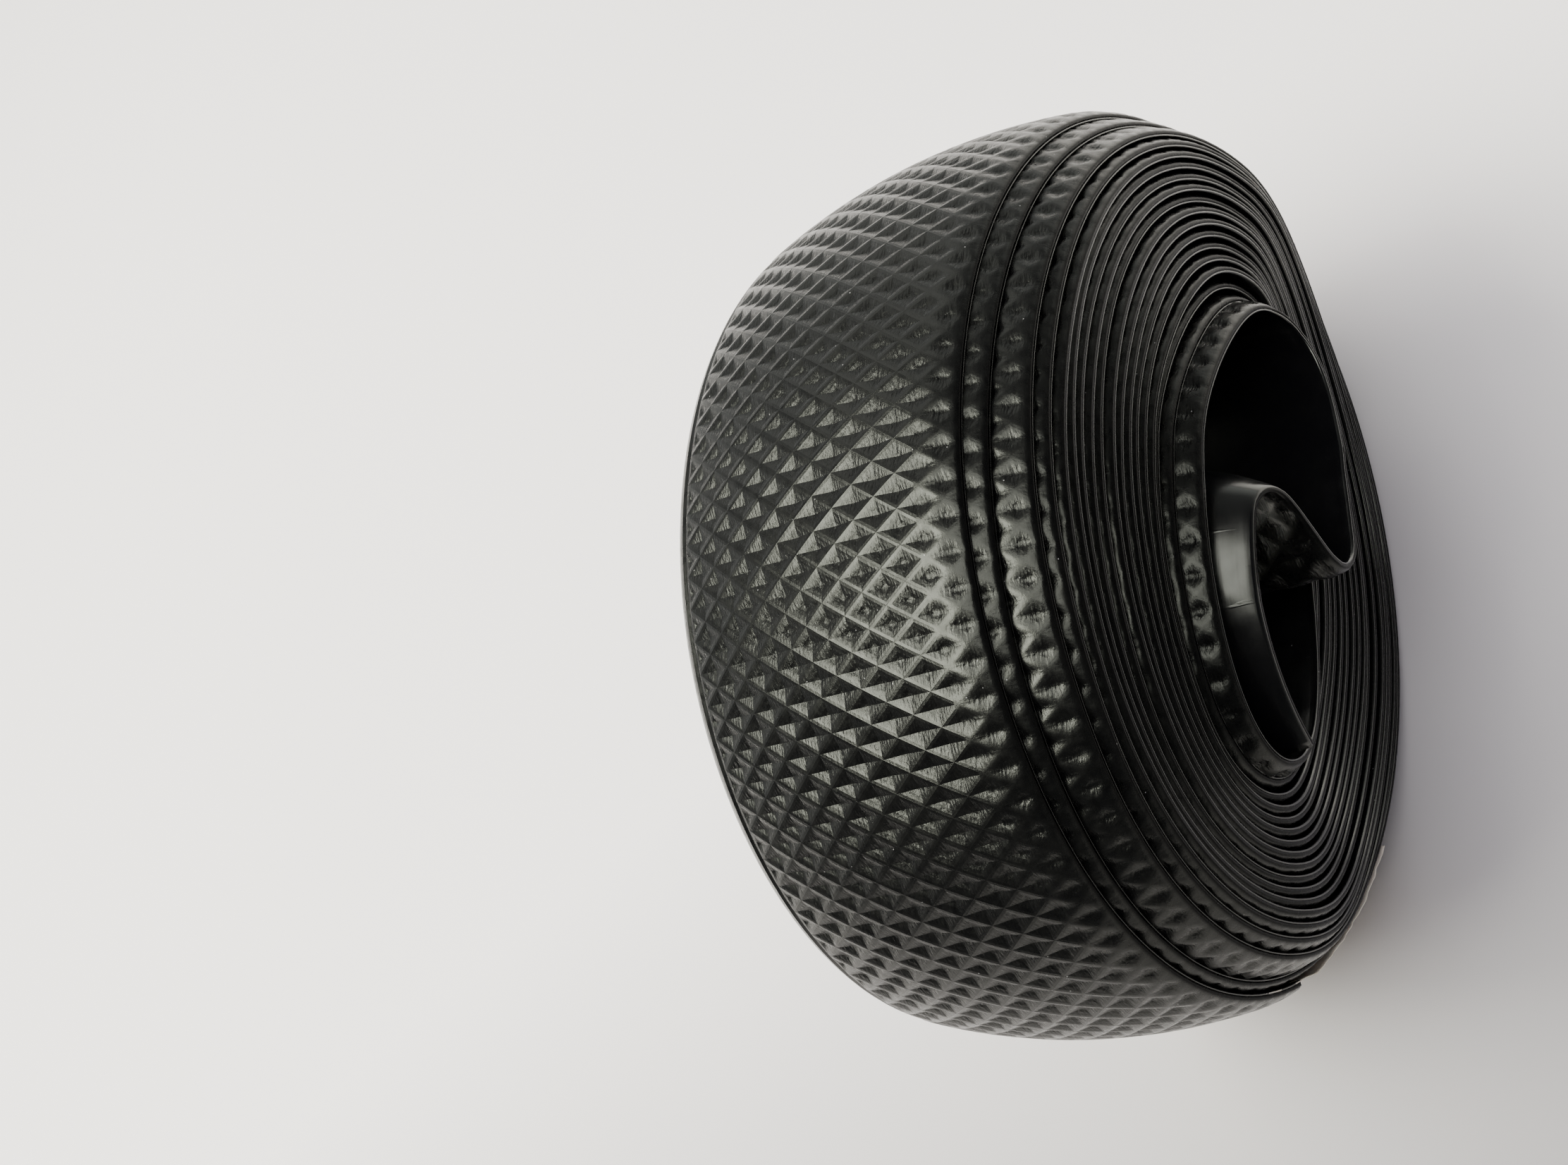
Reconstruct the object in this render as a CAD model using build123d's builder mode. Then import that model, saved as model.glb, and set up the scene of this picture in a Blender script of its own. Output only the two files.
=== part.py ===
"""Roll of embossed grip tape: one long strip wound into an oval coil with an S-shaped inner tail.

Frame: the coil's axis is X, its long axis is Y, and it stands on the long flat side (Z = 0).
The strip is a laminate: an embossed facing on the outside of each turn and a smooth backing
towards the core. A thin film at the strip's outer end keeps the roll closed.
Seen from +X with Z up and Y to the right, the coil grows counterclockwise from core to rim.
"""

from build123d import *
from collections import namedtuple
from math import atan, atan2, cos, degrees, radians, sin
import os

# Driving dimensions, in millimetres and degrees.
TAPE_WIDTH = 30.0
FACING_THICKNESS = 0.80
BACKING_THICKNESS = 0.18
FILM_THICKNESS = 0.08

# The core hole, as half lengths from the axis to the backing of the innermost turn.
CORE_HALF_LENGTH = 18.6
CORE_HALF_HEIGHT = 9.4
# Growth per turn is larger on the flat sides, where the winding is looser than at the ends.
TURNS = 18
END_PITCH = 1.03
SIDE_PITCH = 1.26
# How much the end arcs tighten as the oval gets longer: 0 gives a half circle at each end.
END_TIGHTNESS = 0.62

# The near side face is flat at the outermost turn, slopes up over the next few turns to a flat
# crest, and rises again as a cone where the tail stands out.
RIM_X = 15.0
CREST_X = 20.3
CREST_INSET = 3.3
TAIL_X = 25.0
TAIL_FOOT_RADIUS = 10.6
TAIL_TOP_RADIUS = 3.5

# The inner tail, from the start of the coil inward to the free end of the strip.
TAIL_LEAD = 0.2
TAIL_FOLD_RADIUS = 2.2
TAIL_FOLD_TURN = 140.0
TAIL_BRIDGE = 6.5
TAIL_LOOP_RADIUS = 2.2
TAIL_LOOP_TURN = 140.0
TAIL_SWEEP_RADIUS = 24.0
TAIL_SWEEP_TURN = 44.0

# The strip ends just past the -Y end of the roll, and the film goes on from under it.
STRIP_END_TURN = 19.0
FILM_CLEARANCE = 0.015
FILM_TUCK_TURN = 10.0
FILM_SHOWN_TURN = 34.0

START_QUARTER = 3
END_QUARTER = START_QUARTER + 4 * TURNS - 1

Arc = namedtuple("Arc", "centre radius start sweep")
Run = namedtuple("Run", "start heading length")


def half_length(quarter):
    """Distance along Y from the axis to the backing where quarter turn number `quarter` begins."""
    return CORE_HALF_LENGTH + END_PITCH * (quarter - START_QUARTER) / 4


def half_height(quarter):
    """Distance along Z from the axis to the backing where quarter turn number `quarter` begins."""
    return CORE_HALF_HEIGHT + SIDE_PITCH * (quarter - START_QUARTER) / 4


def quarter_arcs(quarter, closed=False):
    """Two tangent arcs over a quarter turn, between a point on the Y axis and one on the Z axis.

    A closed oval keeps the outermost turn's size, where the coil grows from quarter to quarter.
    """
    starts_at_end = quarter % 2 == 0
    if closed:
        length, height = half_length(END_QUARTER), half_height(END_QUARTER - 1)
    elif starts_at_end:
        length, height = half_length(quarter), half_height(quarter + 1)
    else:
        length, height = half_length(quarter + 1), half_height(quarter)
    end_radius = height * (1 - END_TIGHTNESS * (1 - height / length))
    reach = length - end_radius
    side_radius = (reach**2 + height**2 - end_radius**2) / (2 * (height - end_radius))
    drop = side_radius - height
    # Angle on the end arc, from the Y axis, at which the side arc takes over.
    handover = degrees(atan2(drop, reach))
    y_sign = 1 if quarter % 4 in (0, 3) else -1
    z_sign = 1 if quarter % 4 in (0, 1) else -1
    end_centre = (y_sign * reach, 0.0)
    side_centre = (0.0, -z_sign * drop)
    begin = 90.0 * (quarter % 4)
    if starts_at_end:
        first, second = (end_centre, end_radius, handover), (side_centre, side_radius, 90 - handover)
    else:
        first, second = (side_centre, side_radius, 90 - handover), (end_centre, end_radius, handover)
    return [
        Arc(first[0], first[1], begin, first[2]),
        Arc(second[0], second[1], begin + first[2], second[2]),
    ]


def tail_route():
    """The tail's runs and arcs, listed inward from the coil's first point to the free end."""
    y, z, heading = 0.0, -half_height(START_QUARTER), 180.0
    route = []
    shapes = [
        ("run", TAIL_LEAD),
        ("arc", TAIL_FOLD_RADIUS, -TAIL_FOLD_TURN),
        ("run", TAIL_BRIDGE),
        ("arc", TAIL_LOOP_RADIUS, TAIL_LOOP_TURN),
        ("arc", TAIL_SWEEP_RADIUS, TAIL_SWEEP_TURN),
    ]
    for kind, size, *turn in shapes:
        if kind == "run":
            route.append(Run((y, z), heading, size))
            y += size * cos(radians(heading))
            z += size * sin(radians(heading))
        else:
            side = 1 if turn[0] > 0 else -1
            to_centre = radians(heading + 90 * side)
            centre = (y + size * cos(to_centre), z + size * sin(to_centre))
            start = heading - 90 * side
            route.append(Arc(centre, size, start, turn[0]))
            heading += turn[0]
            out = radians(heading - 90 * side)
            y = centre[0] + size * cos(out)
            z = centre[1] + size * sin(out)
    return route


def draw(shape, offset, inward):
    """Draws one run or arc, offset to the outer side of the strip."""
    if isinstance(shape, Run):
        out = radians(shape.heading + (90 if inward else -90))
        y = shape.start[0] + offset * cos(out)
        z = shape.start[1] + offset * sin(out)
        ahead = radians(shape.heading)
        end = (y + shape.length * cos(ahead), z + shape.length * sin(ahead))
        Line((y, z), end)
        return (y, z), end
    grows = (shape.sweep > 0) != inward
    radius = shape.radius + (offset if grows else -offset)
    CenterArc(shape.centre, radius, shape.start, shape.sweep)
    ends = []
    for angle in (shape.start, shape.start + shape.sweep):
        at = radians(angle)
        ends.append((shape.centre[0] + radius * cos(at), shape.centre[1] + radius * sin(at)))
    return ends


def coil_route():
    """Every arc of the coil from its first point at -Z out to the strip's end."""
    route = []
    for quarter in range(START_QUARTER, END_QUARTER):
        route += quarter_arcs(quarter)
    last = quarter_arcs(END_QUARTER)[0]
    route.append(last._replace(sweep=STRIP_END_TURN))
    return route


def strip_outline(inner, outer):
    """Closed outline of the layer between two distances from the back of the strip."""
    ends = []
    for offset in (inner, outer):
        for shape in coil_route():
            rim = draw(shape, offset, inward=False)[1]
        for shape in tail_route():
            free = draw(shape, offset, inward=True)[1]
        ends.append((rim, free))
    Line(ends[0][0], ends[1][0])
    Line(ends[0][1], ends[1][1])


STRIP_THICKNESS = FACING_THICKNESS + BACKING_THICKNESS

# The coil's axis, placed so that the origin is at the middle of the roll's underside.
AXIS_X = -(TAIL_X + RIM_X - TAPE_WIDTH) / 2
AXIS_Y = END_PITCH / 4
AXIS_Z = half_height(END_QUARTER - 3) + STRIP_THICKNESS
COIL = Plane(origin=(AXIS_X, AXIS_Y, AXIS_Z), x_dir=(0, 1, 0), z_dir=(1, 0, 0))
SPAN = 120.0


def raised_middle(foot_x, mode):
    """The slope from the outermost turn up to the crest, and the cone of the tail on it."""
    rise = CREST_X - RIM_X
    with BuildSketch(COIL.offset(foot_x)) as slope_foot:
        with BuildLine():
            for quarter in range(4):
                for arc in quarter_arcs(quarter, closed=True):
                    draw(arc, 0.0, inward=False)
        make_face()
    extrude(slope_foot.sketch, amount=rise, taper=degrees(atan(CREST_INSET / rise)), mode=mode)
    tail_rise = TAIL_X - CREST_X
    with BuildSketch(COIL.offset(foot_x + rise)) as tail_foot:
        Circle(TAIL_FOOT_RADIUS)
    tail_taper = degrees(atan((TAIL_FOOT_RADIUS - TAIL_TOP_RADIUS) / tail_rise))
    extrude(tail_foot.sketch, amount=tail_rise, taper=tail_taper, mode=mode)


def build_room():
    """The room between the two side faces, which are a tape's width apart everywhere."""
    far_x = RIM_X - TAPE_WIDTH
    with BuildPart() as room:
        with BuildSketch(COIL.offset(far_x)):
            Rectangle(SPAN, SPAN)
        extrude(amount=TAPE_WIDTH)
        raised_middle(RIM_X, Mode.ADD)
        raised_middle(far_x, Mode.SUBTRACT)
    return room.part


def build_layer(label, inner, outer, room):
    """One layer of the strip, over its whole wound length, kept to the room between the side faces."""
    with BuildPart() as layer:
        with BuildSketch(COIL):
            with BuildLine():
                strip_outline(inner, outer)
            make_face()
        extrude(amount=SPAN / 2, both=True)
        add(room, mode=Mode.INTERSECT)
    layer.part.label = label
    return layer.part


def build_film(room):
    """The closing film: tucked under the strip's end and stuck on round the turn below."""
    end = quarter_arcs(END_QUARTER)[0]
    below = quarter_arcs(END_QUARTER - 4)[0]
    base = below.radius + STRIP_THICKNESS + FILM_CLEARANCE
    start = end.start + STRIP_END_TURN - FILM_TUCK_TURN
    sweep = FILM_TUCK_TURN + FILM_SHOWN_TURN
    with BuildPart() as film:
        with BuildSketch(COIL):
            with BuildLine():
                inside = CenterArc(below.centre, base, start, sweep)
                outside = CenterArc(below.centre, base + FILM_THICKNESS, start, sweep)
                Line(inside @ 0, outside @ 0)
                Line(inside @ 1, outside @ 1)
            make_face()
        extrude(amount=SPAN / 2, both=True)
        add(room, mode=Mode.INTERSECT)
    film.part.label = "closing_film"
    return film.part


os.makedirs("parts", exist_ok=True)
room = build_room()
pieces = [
    build_layer("smooth_backing", 0.0, BACKING_THICKNESS, room),
    build_layer("embossed_facing", BACKING_THICKNESS, STRIP_THICKNESS, room),
    build_film(room),
]
for piece in pieces:
    export_step(piece, f"parts/{piece.label}.step")
    box = piece.bounding_box()
    print(piece.label, round(piece.volume, 1), box.min, box.max)
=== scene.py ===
"""Looks of the grip tape roll: one embossed strip wound into an oval coil, in the CAD's frame.

Shapes are worked out in millimetres round the coil's axis (X along the axis, Y along the oval's
long axis, Z up) and are placed in the row frame, in metres, by the box of the CAD strip.
"""
import math

import bpy
import numpy as np
from mathutils import Matrix, Vector


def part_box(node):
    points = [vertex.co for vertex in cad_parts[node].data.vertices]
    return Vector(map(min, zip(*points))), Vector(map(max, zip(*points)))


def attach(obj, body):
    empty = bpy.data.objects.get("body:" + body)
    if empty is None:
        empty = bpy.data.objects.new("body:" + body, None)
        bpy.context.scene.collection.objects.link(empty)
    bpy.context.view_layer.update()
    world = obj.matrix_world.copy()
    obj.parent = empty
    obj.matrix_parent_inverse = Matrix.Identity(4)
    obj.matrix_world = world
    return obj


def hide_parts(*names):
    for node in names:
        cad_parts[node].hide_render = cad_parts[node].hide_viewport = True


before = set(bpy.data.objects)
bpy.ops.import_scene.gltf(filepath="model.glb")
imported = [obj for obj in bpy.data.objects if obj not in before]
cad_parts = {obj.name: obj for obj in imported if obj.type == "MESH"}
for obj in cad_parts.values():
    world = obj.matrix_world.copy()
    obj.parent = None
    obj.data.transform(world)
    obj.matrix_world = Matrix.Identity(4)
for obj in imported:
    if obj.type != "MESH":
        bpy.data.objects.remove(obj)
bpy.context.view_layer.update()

MM = 0.001

# ---------------------------------------------------------------- driving dimensions, in mm
TAPE_WIDTH = 30.0
BACKING = 0.18
FACING = 0.80
THICKNESS = BACKING + FACING

CORE_HALF_LENGTH = 18.6
CORE_HALF_HEIGHT = 9.4
END_PITCH = 1.03
SIDE_PITCH = 1.26
TURNS = 18
STRIP_END_TURN = 19.0
FIRST_QUARTER = 3.0
LAST_QUARTER = FIRST_QUARTER - 1 + 4 * TURNS + STRIP_END_TURN / 90

# On the flat sides the outer turns are wound tighter: how far they stand out for it, by turns
# counted from the outside. The first turn stands off the one below it where the tail starts.
TIGHTER = [(0.0, 0.0), (1.0, 0.24), (2.0, 0.42), (3.0, 0.48), (6.0, 0.30), (10.0, 0.0)]
FIRST_TURN_LIFT = 2.9
LIFT_ENDS_AT = 3.95
# How unevenly the turns lie: everywhere, and more on the flat sides, away from the outside.
GIVE = 0.02
GIVE_ON_SIDES = 0.09
GIVE_FROM_TURN = (2, 5)

# The near edge of the innermost turns droops towards the core: how far, over what width, and over
# which shares of the coil it comes and goes.
DROOP = 0.62
DROOP_WIDTH = 4.0
DROOP_STARTS = (0.002, 0.016)
DROOP_FADES = (0.03, 0.19)

# The inner turns sag at the +Y end of the core hole.
SAG = 2.6
SAG_FROM_Y = 4.0
SAG_TO_Y = 19.0
SAG_FADES_AT = 0.6

# The inner tail, from the coil's first point inward: length in mm and turn in degrees of each stretch.
TAIL_STRETCHES = [
    (0.8, 0.0),
    (5.2, -130.8),
    (5.26, 0.0),
    (5.85, 128.7),
    (19.15, 55.0),
]
# The far part of the tail leans to the side that its back faces, from this far past the fold, and
# further on it eases to a share of the full lean.
TAIL_LEAN = 0.58
TAIL_LEAN_REACH = 6.5
TAIL_LEAN_FROM = (5.0, 12.0)
TAIL_LEAN_EASES = (20.0, 36.0)
TAIL_LEAN_AT_TIP = 0.35
TAIL_SMOOTHING = 1.3

# How far along +X the strip's near edge lies. On the upper side (+Z) and on the underside it goes
# by turns counted from the outside, on the first turn by quarter turns, and on the tail by distance
# from the fold.
RIM_X = 15.0
UPPER_EDGE = [
    (0.0, 15.0), (0.95, 15.1), (1.3, 16.5), (2.2, 19.1), (3.2, 19.8), (4.5, 20.0), (14.4, 19.8),
    (15.4, 19.2), (16.4, 19.7), (18.0, 20.3),
]
UNDER_EDGE = [(0.0, 15.0), (1.0, 15.3), (4.0, 16.2), (17.0, 18.4), (18.0, 18.6)]
FIRST_TURN_EDGE = [
    (3.0, 24.5), (3.25, 24.2), (3.5, 23.1), (3.75, 22.0), (4.0, 21.4), (5.0, 21.4), (6.3, 21.0),
]
FIRST_TURN_BLENDS = (5.9, 7.2)
TAIL_EDGE = [(0.0, 24.5), (5.0, 24.8), (10.0, 24.2), (16.0, 23.2), (24.0, 22.5), (38.0, 22.0)]
# The near edge wanders slowly and quickly, by this much, on the turns inside the outermost one.
EDGE_WANDERS = (0.30, 0.12)
EDGE_WANDERS_FROM_TURN = (0.9, 3.0)

# Across the tape the turns are barrelled, the outer ones most: how far they stand out, as a curve
# over the share of the width from the rim, and how far they pull in again at the far edge.
BARREL_SLOPE = 6.6
BARREL_CURVE = 8.2
BARREL_DROP = 1.33
FAR_PULL_IN = 1.0
FAR_PULL_IN_OVER = (0.88, 1.03)

# Embossing: two interleaved grids of diamond pits, with STEPS mesh columns and rows to a pit. The
# first pits are centred on mesh row FIRST_PIT_ROW, and pits are smaller and shallower near the edge.
PITCH_ALONG = 2.6
PITCH_ACROSS = 3.75
STEPS = 10
COLUMN_WIDTH = PITCH_ALONG / STEPS
ROW_WIDTH = PITCH_ACROSS / STEPS
FIRST_PIT_ROW = 3
PIT_DEPTH = 0.32
# Share of a pit's depth, from its centre out to the ridge around it.
PIT_PROFILE = [(0.0, 0.97), (0.1, 0.95), (0.8, 0.11), (1.0, 0.0)]
PITS_FADE = (0.0, 0.9)
EDGE_PIT_SIZE = 0.86
EDGE_PIT_FLOOR = 0.92
FULL_SIZE_AT = 5.5
SELVAGE = 2.4
# Away from the near edge the pits' walls and ridges are crisp, from this mesh row on.
CRISP_FROM_ROW = 9

# The face is bevelled at the near edge and tapers down towards it, it is rounded at the far edge,
# and a groove divides the plain far margin from the pits.
EDGE_BEVEL = 0.15
EDGE_DROP = 0.10
TAPER_FOR = 2.2
TAPER = 0.42
FAR_ROUND_FOR = 1.6
FAR_ROUND_DROP = 0.42
GROOVE_DEPTH = 0.16
GROOVE_WIDTH = 0.22
GROOVE_INSET = 0.15

# The closing film, in degrees from the strip's end: tucked under it, and stuck to the turn below.
FILM_THICKNESS = 0.08
FILM_TUCK_TURN = 10.0
FILM_SHOWN_TURN = 34.0
# Past the strip's end it lifts, in mm: how far, within what limit, how far past the end, over what
# length, and between which distances it comes free. It lifts least at the near edge, up to these
# shares of its width.
FILM_LIFT = 2.9
FILM_LIFT_LIMIT = 3.0
FILM_LIFTS_AT = 3.0
FILM_LIFTS_OVER = 3.0
FILM_LIFTS_FROM = (0.2, 2.4)
FILM_NEAR_LIFT = 0.12
FILM_NEAR_SHARES = (0.22, 0.42)
# Its inset from each edge of the strip, its height over the turn below, and its mesh's columns and
# rows. The gap between turns is thinner than the film, so its tucked part crosses the turn above.
FILM_SIDE = 0.35
FILM_CLEARANCE = 0.04
FILM_MESH = (90, 70)

# Where the strip sits in the row frame.
strip_low, strip_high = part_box("embossed_facing")
AXIS = (
    strip_low[0] / MM + TAPE_WIDTH - RIM_X,
    (strip_low[1] + strip_high[1]) / 2 / MM + END_PITCH / 4,
    strip_low[2] / MM + CORE_HALF_HEIGHT + SIDE_PITCH * (TURNS - 1) + THICKNESS,
)


def smoothstep(low, high, x):
    t = np.clip((x - low) / (high - low), 0.0, 1.0)
    return t * t * (3 - 2 * t)


def along_table(x, table):
    """Linear interpolation in a table of (place, value) pairs."""
    return np.interp(x, [place for place, _ in table], [value for _, value in table])


def wander(x, seed, octaves=3):
    """Smooth one-dimensional noise between about -1 and 1, the same on every run."""
    rng = np.random.default_rng(seed)
    total = np.zeros_like(x)
    for k in range(octaves):
        table = rng.uniform(-1, 1, 512)
        at = x * 2**k + 31.7 * k
        i = np.floor(at).astype(int)
        t = at - i
        t = t * t * (3 - 2 * t)
        total += (table[i % 512] * (1 - t) + table[(i + 1) % 512] * t) / 2**k
    return total / (2 - 2 ** (1 - octaves))


# ---------------------------------------------------------------- the strip's route
def tail_path(heading, step=0.02):
    """Points from the coil's first point inward, from stretches of smoothed curvature."""
    bends = []
    for length, turn in TAIL_STRETCHES:
        count = max(1, round(length / step))
        bends.append(np.full(count, math.radians(turn) / count))
    bends = np.concatenate(bends)
    reach = int(TAIL_SMOOTHING / step)
    window = np.hanning(2 * reach + 1)
    bends = np.convolve(np.pad(bends, reach), window / window.sum(), "same")[reach:-reach]
    heading = heading + np.cumsum(bends)
    return np.cumsum(np.cos(heading)) * step, np.cumsum(np.sin(heading)) * step


def strip_path():
    """Evenly dense points from the free inner end to the outer end.

    Returns Y, Z, quarter, share of the coil and distance along the strip, and the tail's length.
    """
    quarter = np.linspace(FIRST_QUARTER, LAST_QUARTER, 60000)
    grown = (quarter - FIRST_QUARTER) / 4
    share = (quarter - FIRST_QUARTER) / (LAST_QUARTER - FIRST_QUARTER)
    turns_in = (LAST_QUARTER - quarter) / 4
    angle = quarter * math.pi / 2
    loose = GIVE + GIVE_ON_SIDES * np.sin(angle) ** 2 * smoothstep(*GIVE_FROM_TURN, turns_in)
    give = loose * wander(quarter * 0.9, 4)
    y = (CORE_HALF_LENGTH + END_PITCH * grown + give) * np.cos(angle)
    z = (CORE_HALF_HEIGHT + SIDE_PITCH * grown + give + along_table(turns_in, TIGHTER)) * np.sin(angle)
    z -= SAG * smoothstep(SAG_FROM_Y, SAG_TO_Y, y) * np.clip(1 - share / SAG_FADES_AT, 0, 1) ** 2
    z += FIRST_TURN_LIFT * (1 - smoothstep(FIRST_QUARTER, LIFT_ENDS_AT, quarter))
    tail_y, tail_z = tail_path(math.atan2(z[0] - z[1], y[0] - y[1]))
    tail_y, tail_z = tail_y[::-1] + y[0], tail_z[::-1] + z[0]
    y = np.concatenate([tail_y, y])
    z = np.concatenate([tail_z, z])
    quarter = np.concatenate([np.full(len(tail_y), FIRST_QUARTER), quarter])
    share = np.concatenate([np.zeros(len(tail_y)), share])
    run = np.concatenate([[0.0], np.cumsum(np.hypot(np.diff(y), np.diff(z)))])
    return y, z, quarter, share, run, run[len(tail_y)]


path_y, path_z, path_quarter, path_share, path_run, TAIL_LENGTH = strip_path()
STRIP_LENGTH = float(path_run[-1])


def run_at(quarter):
    """Distance along the strip to a quarter turn."""
    coil = path_run >= TAIL_LENGTH
    return float(np.interp(quarter, path_quarter[coil], path_run[coil]))


class Route:
    """The strip's line at some cross-sections: place, outward direction and near edge."""

    def __init__(self, run):
        self.run = run
        self.y = np.interp(run, path_run, path_y)
        self.z = np.interp(run, path_run, path_z)
        ahead_y = np.interp(run + 0.05, path_run, path_y) - np.interp(run - 0.05, path_run, path_y)
        ahead_z = np.interp(run + 0.05, path_run, path_z) - np.interp(run - 0.05, path_run, path_z)
        length = np.hypot(ahead_y, ahead_z)
        self.out_y = ahead_z / length
        self.out_z = -ahead_y / length
        self.share = np.interp(run, path_run, path_share)
        quarter = np.interp(run, path_run, path_quarter)
        edge = self.coil_edge(quarter)
        first = smoothstep(*FIRST_TURN_BLENDS, quarter)
        edge = along_table(quarter, FIRST_TURN_EDGE) * (1 - first) + edge * first
        into_tail = TAIL_LENGTH - run
        self.edge_x = np.where(into_tail > 0, along_table(into_tail, TAIL_EDGE), edge)
        easing = (1 - TAIL_LEAN_AT_TIP) * smoothstep(*TAIL_LEAN_EASES, into_tail)
        self.lean = TAIL_LEAN * smoothstep(*TAIL_LEAN_FROM, into_tail) * (1 - easing)
        fading = 1 - smoothstep(*DROOP_FADES, self.share)
        self.droop = DROOP * smoothstep(*DROOP_STARTS, self.share) * fading

    @staticmethod
    def coil_edge(quarter):
        turns_in = (LAST_QUARTER - quarter) / 4
        under = smoothstep(0.1, 0.95, -np.sin(quarter * math.pi / 2))
        edge = along_table(turns_in, UPPER_EDGE) * (1 - under) + along_table(turns_in, UNDER_EDGE) * under
        inside = smoothstep(*EDGE_WANDERS_FROM_TURN, turns_in)
        slow, quick = EDGE_WANDERS
        return edge + inside * (slow * wander(quarter * 0.5, 7) + quick * wander(quarter * 2.1, 9))

    def place(self, across, height, ahead=0.0):
        """Row-frame points, for arrays of distance from the near edge and height over the back.

        Each point can also be moved ahead along the strip.
        """
        x = self.edge_x[:, None] - across
        reach = (RIM_X - x) / TAPE_WIDTH
        barrel = BARREL_SLOPE * reach - BARREL_CURVE * reach**2 - BARREL_DROP
        barrel -= FAR_PULL_IN * smoothstep(*FAR_PULL_IN_OVER, reach) ** 2
        leaning = TAIL_LEAN_REACH * np.tanh(across / TAIL_LEAN_REACH)
        lift = height + barrel * self.share[:, None] - self.lean[:, None] * leaning
        lift = lift - self.droop[:, None] * np.clip(1 - across / DROOP_WIDTH, 0, 1) ** 2
        points = np.stack([
            AXIS[0] + x + 0 * lift,
            AXIS[1] + self.y[:, None] + self.out_y[:, None] * lift - self.out_z[:, None] * ahead,
            AXIS[2] + self.z[:, None] + self.out_z[:, None] * lift + self.out_y[:, None] * ahead,
        ], axis=-1)
        return points * MM


# ---------------------------------------------------------------- the strip's cross-section
def pit(along, across):
    """0 on the net of ridges and 1 on a pit's floor, for places on the strip in mm."""
    a = along / PITCH_ALONG
    b = across / PITCH_ACROSS - FIRST_PIT_ROW / STEPS
    d = np.abs(a - np.round(a)) + np.abs(b - np.round(b))
    inner = smoothstep(1.0, FULL_SIZE_AT, across)
    size = EDGE_PIT_SIZE + (1 - EDGE_PIT_SIZE) * inner
    share = along_table((1 - np.abs(1 - 2 * d)) / size, PIT_PROFILE)
    share = np.minimum(share, EDGE_PIT_FLOOR + (1 - EDGE_PIT_FLOOR) * inner)
    inside = 1 - smoothstep(TAPE_WIDTH - SELVAGE - 0.5, TAPE_WIDTH - SELVAGE, across)
    return share * inside * smoothstep(*PITS_FADE, across)


def facing_height(along, across):
    """Height of the embossed face over the back of the strip."""
    near = np.clip(1 - across / EDGE_BEVEL, 0, 1)
    far = smoothstep(TAPE_WIDTH - FAR_ROUND_FOR, TAPE_WIDTH, across)
    groove = np.exp(-(((across - TAPE_WIDTH + SELVAGE - GROOVE_INSET) / GROOVE_WIDTH) ** 2))
    taper = TAPER * np.clip(1 - across / TAPER_FOR, 0, 1) ** 2
    body = THICKNESS - EDGE_DROP * near**2 - taper - FAR_ROUND_DROP * far**2
    return body - PIT_DEPTH * pit(along, across) - GROOVE_DEPTH * groove


UNDER_ACROSS = np.array([TAPE_WIDTH, 20.0, 10.0, 2.0, 1.2, 0.6, 0.0])
BACK_ACROSS = [0.0, 0.25, 0.8, 1.4, 2.0, 4.0, 7.5, 12.0, 16.0, 20.0, 24.0, 27.0, 29.75, TAPE_WIDTH]

# How finely the facing is divided: stretches by last quarter turn, with the steps between columns
# and the number of dense rows at the near edge. Sparse rows fill the rest of the width.
ROWS = 8 * STEPS
STRETCHES = [
    (FIRST_QUARTER + 0.4, 1, 4 * STEPS),
    (FIRST_QUARTER + 5.0, 1, 2 * STEPS),
    (LAST_QUARTER - 17.0, 2, STEPS + STEPS // 2),
    (LAST_QUARTER - 4.7, 1, STEPS + STEPS // 2),
    (LAST_QUARTER, 1, ROWS),
]
SPARSE_ROWS = [
    2 * STEPS, 3 * STEPS, 4 * STEPS, 6 * STEPS,
    7 * STEPS, 7 * STEPS + 4, 7 * STEPS + 6, 7 * STEPS + 8, ROWS,
]


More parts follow.
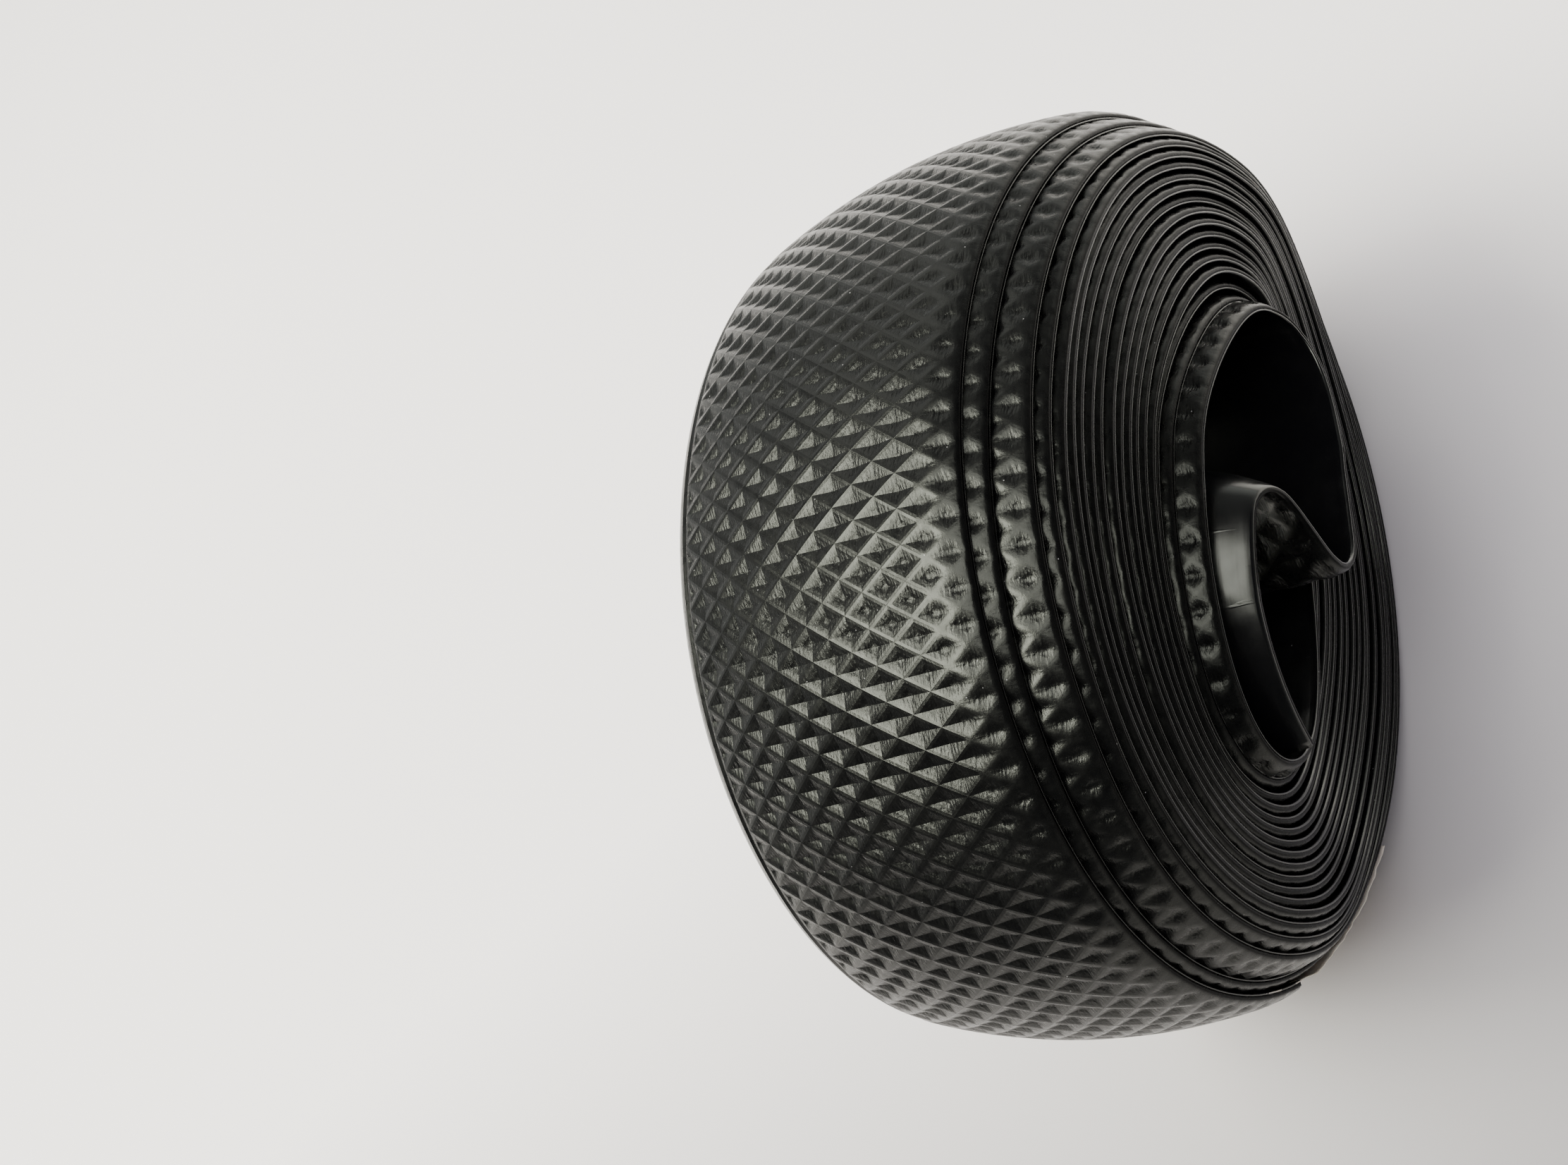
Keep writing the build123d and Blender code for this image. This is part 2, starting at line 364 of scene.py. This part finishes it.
class MeshData:
    """Points, faces and places on the strip, gathered for one mesh."""

    def __init__(self):
        self.points = []
        self.places = []
        self.faces = []
        self.crisp = []
        self.count = 0

    def add_points(self, block, along, across, depth=0.0):
        """Adds an array of columns of points and returns the index of each."""
        index = np.arange(self.count, self.count + block.shape[0] * block.shape[1])
        self.points.append(block.reshape(-1, 3))
        places = np.broadcast_arrays(along * MM, across * MM, depth)
        self.places.append(np.stack(places, axis=-1).reshape(-1, 3))
        self.count += len(index)
        return index.reshape(block.shape[:2])

    def add_quads(self, index, closed=False):
        """Joins neighbouring columns with quads, and first to last row where closed."""
        if closed:
            index = np.concatenate([index, index[:, :1]], axis=1)
        quads = np.stack([index[:-1, :-1], index[:-1, 1:], index[1:, 1:], index[1:, :-1]], axis=-1)
        self.faces += quads.reshape(-1, 4).tolist()

    def add_embossed(self, index, first_step):
        """Joins columns with triangles whose long sides run with the ridges.

        Within each quarter of a diamond the height is level along one diagonal of the grid.
        """
        column = (first_step + np.arange(index.shape[0] - 1)) % STEPS
        row = (np.arange(index.shape[1] - 1) - FIRST_PIT_ROW) % STEPS
        half = STEPS // 2
        same = (column[:, None] < half) == (row[None, :] < half)
        a, b = index[:-1, :-1], index[:-1, 1:]
        c, d = index[1:, 1:], index[1:, :-1]
        crisp = np.broadcast_to(np.arange(index.shape[1] - 1) >= CRISP_FROM_ROW, same.shape)
        halves = (((a, b, d), same), ((b, c, d), same), ((a, b, c), ~same), ((a, c, d), ~same))
        for corners, where in halves:
            self.crisp.append(np.flatnonzero(crisp[where]) + len(self.faces))
            self.faces += np.stack(corners, axis=-1)[where].tolist()

    def bridge(self, before, after, rows_before, rows_after):
        """Joins two columns at the rows they share, taking in the rows that only one of them has."""
        shared = sorted(set(rows_before.tolist()) & set(rows_after.tolist()))
        face_before, face_after = before[:len(rows_before)], after[:len(rows_after)]
        for low, high in zip(shared, shared[1:]):
            one = face_before[(rows_before >= low) & (rows_before <= high)].tolist()
            other = face_after[(rows_after >= low) & (rows_after <= high)].tolist()
            self.faces.append(one + other[::-1])
        under_before = np.append(before[len(rows_before) - 1:], before[0])
        under_after = np.append(after[len(rows_after) - 1:], after[0])
        self.add_quads(np.stack([under_before, under_after]))

    def build(self, name, material):
        mesh = bpy.data.meshes.new(name)
        mesh.from_pydata(np.concatenate(self.points).tolist(), [], self.faces)
        smooth = np.ones(len(self.faces), dtype=bool)
        if self.crisp:
            smooth[np.concatenate(self.crisp)] = False
        mesh.polygons.foreach_set("use_smooth", smooth)
        place = mesh.attributes.new("on_strip", "FLOAT_VECTOR", "POINT")
        place.data.foreach_set("vector", np.concatenate(self.places).ravel())
        mesh.materials.append(material)
        piece = bpy.data.objects.new(name, mesh)
        bpy.context.scene.collection.objects.link(piece)
        return piece


def ragged_end(run, across):
    """How far ahead the strip's cut end is pulled at each point of its last two millimetres."""
    return 0.45 * smoothstep(STRIP_LENGTH - 2, STRIP_LENGTH, run) * (wander(across * 1.3, 21) - 0.4)


def make_facing(material):
    """The embossed layer: a closed ring of points at each cross-section, face first, then underside."""
    data = MeshData()
    last_step = math.floor(STRIP_LENGTH / COLUMN_WIDTH)
    done, before, rows_before = None, None, None
    for last_quarter, skip, dense in STRETCHES:
        to_step = math.floor(run_at(last_quarter) / PITCH_ALONG) * STEPS
        if last_quarter == LAST_QUARTER:
            to_step = last_step
        first_step = 0 if done is None else done + skip
        steps = np.arange(first_step, to_step + 1, skip)
        rows = np.array([*range(dense), *(row for row in SPARSE_ROWS if row >= dense)])
        route = Route(steps * COLUMN_WIDTH)
        run = route.run[:, None]
        across = np.broadcast_to(rows * ROW_WIDTH, (len(steps), len(rows)))
        under = np.broadcast_to(UNDER_ACROSS, (len(steps), len(UNDER_ACROSS)))
        face = route.place(across, facing_height(run, across), ragged_end(run, across))
        back = route.place(under, BACKING, ragged_end(run, under))
        ring = np.concatenate([face, back], axis=1)
        depth = np.concatenate([pit(run, across), 0 * under], axis=1)
        index = data.add_points(ring, run, np.concatenate([across, under], axis=1), depth)
        if skip == 1:
            data.add_embossed(index[:, :dense], first_step)
        else:
            data.add_quads(index[:, :dense])
        data.add_quads(np.concatenate([index[:, dense - 1:], index[:, :1]], axis=1))
        if before is None:
            data.faces.append(index[0, ::-1].tolist())
        else:
            data.bridge(before, index[0], rows_before, rows)
        done, before, rows_before = to_step, index[-1], rows
    data.faces.append(before.tolist())
    return data.build("embossed_strip", material)


def make_backing(material):
    """The smooth layer: a closed ring of points at each cross-section."""
    run = np.append(np.arange(0, STRIP_LENGTH, PITCH_ALONG / 4), STRIP_LENGTH)
    route = Route(run)
    ring = np.array(BACK_ACROSS + BACK_ACROSS[::-1])
    across = np.broadcast_to(ring, (len(run), len(ring)))
    height = np.where(np.arange(len(ring)) < len(BACK_ACROSS), 0.0, BACKING)
    height[[0, len(BACK_ACROSS) - 1]] = 0.06
    data = MeshData()
    points = route.place(across, height, ragged_end(run[:, None], across))
    index = data.add_points(points[:, ::-1], run[:, None], across[:, ::-1])
    data.add_quads(index, closed=True)
    data.faces.append(index[0, ::-1].tolist())
    data.faces.append(index[-1].tolist())
    return data.build("smooth_back", material)


FILM_FROM = run_at(LAST_QUARTER - 4 - FILM_TUCK_TURN / 90)
FILM_TO = run_at(LAST_QUARTER - 4 + FILM_SHOWN_TURN / 90)


def make_film(material):
    """The closing film: ragged at its free end and sides, wrinkled, and lifted past the strip's end."""
    columns, rows = FILM_MESH
    t, u = np.meshgrid(np.linspace(0, 1, columns), np.linspace(0, 1, rows), indexing="ij")
    free_end = 0.9 * wander(u * 9, 31) + 0.35 * wander(u * 60, 32)
    run = FILM_FROM + (FILM_TO - FILM_FROM) * t + free_end * t**4
    side = FILM_SIDE + 0.3 * wander(t * 14, 33)
    across = side + (TAPE_WIDTH - 2 * FILM_SIDE) * u
    tucked = FILM_TUCK_TURN / (FILM_TUCK_TURN + FILM_SHOWN_TURN)
    past_end = run - (FILM_FROM + (FILM_TO - FILM_FROM) * tucked)
    lift = FILM_LIFT * np.exp(-(((past_end - FILM_LIFTS_AT) / FILM_LIFTS_OVER) ** 2))
    lift = lift * (0.75 + 0.5 * wander(u * 5, 34)) * smoothstep(*FILM_LIFTS_FROM, past_end)
    lift = lift * (FILM_NEAR_LIFT + (1 - FILM_NEAR_LIFT) * smoothstep(*FILM_NEAR_SHARES, u))
    lift = np.clip(lift, 0, FILM_LIFT_LIMIT) * smoothstep(0, 0.12, t)
    wrinkles = 0.09 * np.abs(wander(t * 22 + u * 3, 35)) + 0.07 * np.abs(wander(u * 17 - t * 4, 36))
    height = THICKNESS + FILM_CLEARANCE + lift + wrinkles * smoothstep(0.23, 0.35, t)
    route = Route(run.ravel())
    sides = []
    for over in (FILM_THICKNESS, 0.0):
        side_points = route.place(across.reshape(-1, 1), height.reshape(-1, 1) + over)
        sides.append(side_points.reshape(columns, rows, 3))
    top, under = sides
    data = MeshData()
    both = np.concatenate([top, under[:, ::-1]], axis=1)
    run_round = np.concatenate([run, run[:, ::-1]], axis=1)
    across_round = np.concatenate([across, across[:, ::-1]], axis=1)
    index = data.add_points(both, run_round, across_round)
    data.add_quads(index, closed=True)
    for column, order in ((0, -1), (-1, 1)):
        ends = np.stack([index[column, :rows], index[column, :rows - 1:-1]])
        data.add_quads(ends[::order])
    return data.build("ragged_film", material)


# ---------------------------------------------------------------- materials
class Material:
    """A material with short ways to add and join its nodes."""

    def __init__(self, name):
        self.material = bpy.data.materials.new(name)
        self.material.use_nodes = True
        self.tree = self.material.node_tree
        self.shader = self.tree.nodes["Principled BSDF"]

    def add(self, kind, **inputs):
        node = self.tree.nodes.new("ShaderNode" + kind)
        for name, value in inputs.items():
            socket = node.inputs[name.replace("_", " ")]
            if isinstance(value, bpy.types.NodeSocket):
                self.tree.links.new(value, socket)
            else:
                socket.default_value = value
        return node

    def on_strip(self):
        """Place on the strip in metres: along it, across it, and how deep in a pit."""
        node = self.add("Attribute")
        node.attribute_name = "on_strip"
        return node.outputs["Vector"]

    def noise(self, scale, detail=4.0, stretch=(1, 1, 1), place=None):
        if place is None:
            place = self.add("TexCoord").outputs["Object"]
        stretched = self.add("Mapping", Vector=place, Scale=stretch)
        noise = self.add("TexNoise", Vector=stretched.outputs["Vector"], Scale=scale, Detail=detail)
        return noise.outputs["Fac"]

    def spread(self, source, low, high, from_low=0.3, from_high=0.7):
        """Maps a factor's middle range to values between low and high."""
        node = self.add("MapRange", Value=source)
        node.inputs["From Min"].default_value = from_low
        node.inputs["From Max"].default_value = from_high
        node.inputs["To Min"].default_value = low
        node.inputs["To Max"].default_value = high
        return node.outputs["Result"]

    def maths(self, operation, one, other):
        node = self.add("Math")
        node.operation = operation
        for socket, value in zip(node.inputs, (one, other)):
            if isinstance(value, bpy.types.NodeSocket):
                self.tree.links.new(value, socket)
            else:
                socket.default_value = value
        return node.outputs["Value"]

    def bump(self, height, distance, strength=1.0, normal=None):
        node = self.add("Bump", Height=height, Distance=distance, Strength=strength)
        if normal is not None:
            self.tree.links.new(normal, node.inputs["Normal"])
        return node.outputs["Normal"]

    def dust(self, cell, size, share):
        """1 on small specks, one in each cell of a share of the cells, and 0 elsewhere."""
        place = self.add("TexCoord").outputs["Object"]
        specks = self.add("TexVoronoi", Vector=place, Scale=1 / cell)
        near = self.maths("LESS_THAN", specks.outputs["Distance"], size / cell)
        chosen = self.add("SeparateColor", Color=specks.outputs["Color"])
        return self.maths("MULTIPLY", near, self.maths("LESS_THAN", chosen.outputs["Red"], share))

    def finish(self, **inputs):
        """Sets the shader's inputs to values or sockets."""
        for name, value in inputs.items():
            socket = self.shader.inputs[name.replace("_", " ")]
            if isinstance(value, bpy.types.NodeSocket):
                self.tree.links.new(value, socket)
            else:
                socket.default_value = value
        return self.material


BLACK = (0.0016, 0.0016, 0.0018)
WORN_BLACK = (0.0030, 0.0030, 0.0030)
BACK_BLACK = (0.0035, 0.0035, 0.0040)
DUST = (0.20, 0.20, 0.19)
CUT_EDGE_GLOSS = 0.10


def facing_material():
    made = Material("embossed_pu")
    place = made.on_strip()
    depth = made.add("SeparateXYZ", Vector=place).outputs["Z"]
    black = made.add("MixRGB")
    black.inputs["Color1"].default_value = (*BLACK, 1)
    black.inputs["Color2"].default_value = (*WORN_BLACK, 1)
    made.tree.links.new(made.spread(made.noise(150), 0, 1), black.inputs["Fac"])
    dusty = made.add("MixRGB")
    dusty.inputs["Color2"].default_value = (*DUST, 1)
    made.tree.links.new(black.outputs["Color"], dusty.inputs["Color1"])
    made.tree.links.new(made.dust(0.0011, 0.00005, 0.35), dusty.inputs["Fac"])
    creases = made.noise(5200, 3, (0.30, 1.0, 0.0), place)
    in_pits = made.maths("MULTIPLY", creases, made.spread(depth, 0.12, 1.0, 0.02, 0.5))
    grain = made.noise(9000, 3)
    across = made.add("SeparateXYZ", Vector=place).outputs["Y"]
    from_cut = made.spread(across, 0.0, 1.0, 0.00002, 0.00022)
    rough = made.spread(made.noise(1400, 5), 0.23, 0.35)
    normal = made.bump(grain, 0.000012, 0.6)
    normal = made.bump(in_pits, 0.00011, 0.8, normal)
    return made.finish(
        Base_Color=dusty.outputs["Color"],
        Roughness=rough,
        Normal=normal,
        Specular_IOR_Level=made.spread(from_cut, CUT_EDGE_GLOSS, 0.5, 0.0, 1.0),
        Specular_Tint=(0.97, 1.0, 0.90, 1),
    )


def backing_material():
    made = Material("smooth_pu_back")
    place = made.on_strip()
    dusty = made.add("MixRGB")
    dusty.inputs["Color1"].default_value = (*BACK_BLACK, 1)
    dusty.inputs["Color2"].default_value = (*DUST, 1)
    made.tree.links.new(made.dust(0.0014, 0.00005, 0.3), dusty.inputs["Fac"])
    streaks = made.noise(2600, 3, (0.04, 1.0, 0.0), place)
    cracks = made.noise(1500, 4, (1.0, 0.12, 0.0), place)
    normal = made.bump(streaks, 0.000018, 0.5)
    normal = made.bump(made.spread(cracks, 0, 1, 0.62, 0.75), 0.00002, 0.5, normal)
    return made.finish(
        Base_Color=dusty.outputs["Color"],
        Roughness=made.spread(made.noise(500), 0.16, 0.26),
        Normal=normal,
        Specular_IOR_Level=0.85,
        Specular_Tint=(0.97, 1.0, 0.92, 1),
    )


def film_material():
    made = Material("ivory_film")
    stains = made.noise(420, 5)
    colour = made.add("MixRGB")
    colour.inputs["Color1"].default_value = (0.78, 0.74, 0.62, 1)
    colour.inputs["Color2"].default_value = (0.62, 0.56, 0.48, 1)
    made.tree.links.new(made.spread(stains, 0, 1, 0.42, 0.68), colour.inputs["Fac"])
    return made.finish(
        Base_Color=colour.outputs["Color"],
        Roughness=made.spread(made.noise(900), 0.28, 0.42),
        Normal=made.bump(made.noise(1600), 0.00004, 0.5),
        Subsurface_Weight=0.25,
        Subsurface_Radius=(0.0012, 0.001, 0.0008),
    )


def table_material():
    """Pale, with painted shade: clearly darker towards -Y and, less steeply, towards +X."""
    made = Material("pale_table_painted_shade")
    place = made.add("SeparateXYZ", Vector=made.add("TexCoord").outputs["Object"])
    along_x = made.maths("MULTIPLY", place.outputs["X"], 0.4)
    along_y = made.maths("MULTIPLY", place.outputs["Y"], -0.9)
    # Painted shade on the floor: the base colour darkens from the pale tone towards -Y and +X.
    shade = made.add("MixRGB", Fac=made.spread(made.maths("ADD", along_x, along_y), 0, 1, -0.03, 0.055))
    shade.inputs["Color1"].default_value = (0.92, 0.90, 0.86, 1)
    shade.inputs["Color2"].default_value = (0.31, 0.30, 0.295, 1)
    return made.finish(Base_Color=shade.outputs["Color"], Roughness=0.65)


# ---------------------------------------------------------------- build
def hand_over(piece, node):
    """Puts a piece on the body in place of its CAD node, which it hides."""
    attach(piece, "root")
    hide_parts(node)


facing = make_facing(facing_material())
hand_over(facing, "embossed_facing")

backing = make_backing(backing_material())
hand_over(backing, "smooth_backing")

film = make_film(film_material())
hand_over(film, "closing_film")


# ---------------------------------------------------------------- stage, light and camera
def at(x, y, z):
    """A place given in mm from the coil's axis, in the row frame."""
    return Vector((AXIS[0] + x, AXIS[1] + y, AXIS[2] + z)) * MM


bpy.ops.mesh.primitive_plane_add(size=4, location=(0, 0, 0))
table = bpy.context.object
table.name = "table"
table.data.materials.append(table_material())

# The room's light by height, and its share left on the near side: where that is, and over which
# part of the way from the opposite side it dims.
ROOM_HORIZON, ROOM_HORIZON_UP_TO = (0.95, 0.97, 0.94), 0.10
ROOM_ABOVE, ROOM_ABOVE_FROM = (0.21, 0.215, 0.21), 0.40
ROOM_NEAR_SHARE = 0.14
ROOM_NEAR_SIDE = (0.5, -0.87, 0.0)
ROOM_DIMS_OVER = (-0.5, 0.1)


def make_room():
    """Soft light from all round: brightest at the horizon, and dimmer from -Y and a little from +X."""
    world = bpy.data.worlds.new("soft_room")
    bpy.context.scene.world = world
    world.use_nodes = True
    nodes, links = world.node_tree.nodes, world.node_tree.links
    place = nodes.new("ShaderNodeTexCoord")
    split = nodes.new("ShaderNodeSeparateXYZ")
    links.new(place.outputs["Generated"], split.inputs["Vector"])
    colour = nodes.new("ShaderNodeValToRGB")
    links.new(split.outputs["Z"], colour.inputs["Fac"])
    low, high = colour.color_ramp.elements
    low.position, low.color = ROOM_HORIZON_UP_TO, (*ROOM_HORIZON, 1)
    high.position, high.color = ROOM_ABOVE_FROM, (*ROOM_ABOVE, 1)
    links.new(colour.outputs["Color"], nodes["Background"].inputs["Color"])
    nearness = nodes.new("ShaderNodeVectorMath")
    nearness.operation = "DOT_PRODUCT"
    nearness.inputs[1].default_value = ROOM_NEAR_SIDE
    links.new(place.outputs["Generated"], nearness.inputs[0])
    strength = nodes.new("ShaderNodeMapRange")
    strength.inputs["From Min"].default_value = ROOM_DIMS_OVER[0]
    strength.inputs["From Max"].default_value = ROOM_DIMS_OVER[1]
    strength.inputs["To Min"].default_value = 1.0
    strength.inputs["To Max"].default_value = ROOM_NEAR_SHARE
    links.new(nearness.outputs["Value"], strength.inputs["Value"])
    links.new(strength.outputs["Result"], nodes["Background"].inputs["Strength"])


def area_light(name, azimuth, elevation, distance, size, power, colour):
    """A rectangular light facing the roll, placed by its direction in degrees."""
    data = bpy.data.lights.new(name, "AREA")
    data.shape = "RECTANGLE"
    data.size, data.size_y = size
    data.energy = power
    data.color = colour
    light = bpy.data.objects.new(name, data)
    bpy.context.scene.collection.objects.link(light)
    around, above = math.radians(azimuth), math.radians(elevation)
    level = math.cos(above)
    towards = Vector((level * math.cos(around), level * math.sin(around), math.sin(above)))
    light.location = at(0, 0, 0) + towards * distance
    light.rotation_euler = towards.to_track_quat("Z", "Y").to_euler()
    return light


make_room()
area_light("window", -154, 69, 0.9, (0.64, 0.42), 11.7, (1.0, 1.0, 0.91))
area_light("skylight", -15, 74, 0.9, (0.42, 0.64), 3.5, (1.0, 1.0, 0.95))
area_light("pale_wall", 112, 38, 0.9, (0.60, 0.40), 0.65, (1.0, 1.0, 0.96))
fill = area_light("fill", 0, 75, 1.0, (1.2, 1.2), 8.6, (0.87, 0.81, 1.0))
fill.visible_glossy = False
wash = area_light("wash", 172, 50, 0.42, (0.30, 0.30), 2.8, (1.0, 0.96, 0.90))
wash.visible_glossy = False

CAMERA_AT = (110.9, -58.2, 152.1)
CAMERA_AIM = (-17.1, 0.3, 14.2)
CAMERA_ROLL = 0.5
CAMERA_LENS = 54.0

camera_data = bpy.data.cameras.new("camera")
camera_data.lens = CAMERA_LENS
camera_data.sensor_width = 36
camera_data.clip_start = 0.005
camera = bpy.data.objects.new("camera", camera_data)
bpy.context.scene.collection.objects.link(camera)
forward = (at(*CAMERA_AIM) - at(*CAMERA_AT)).normalized()
right = forward.cross(Vector((0, 1, 0))).normalized()
up = right.cross(forward)
turn = Matrix.Rotation(math.radians(CAMERA_ROLL), 3, forward)
axes = Matrix((right, up, -forward)).transposed()
camera.matrix_world = Matrix.Translation(at(*CAMERA_AT)) @ (turn @ axes).to_4x4()
bpy.context.scene.camera = camera
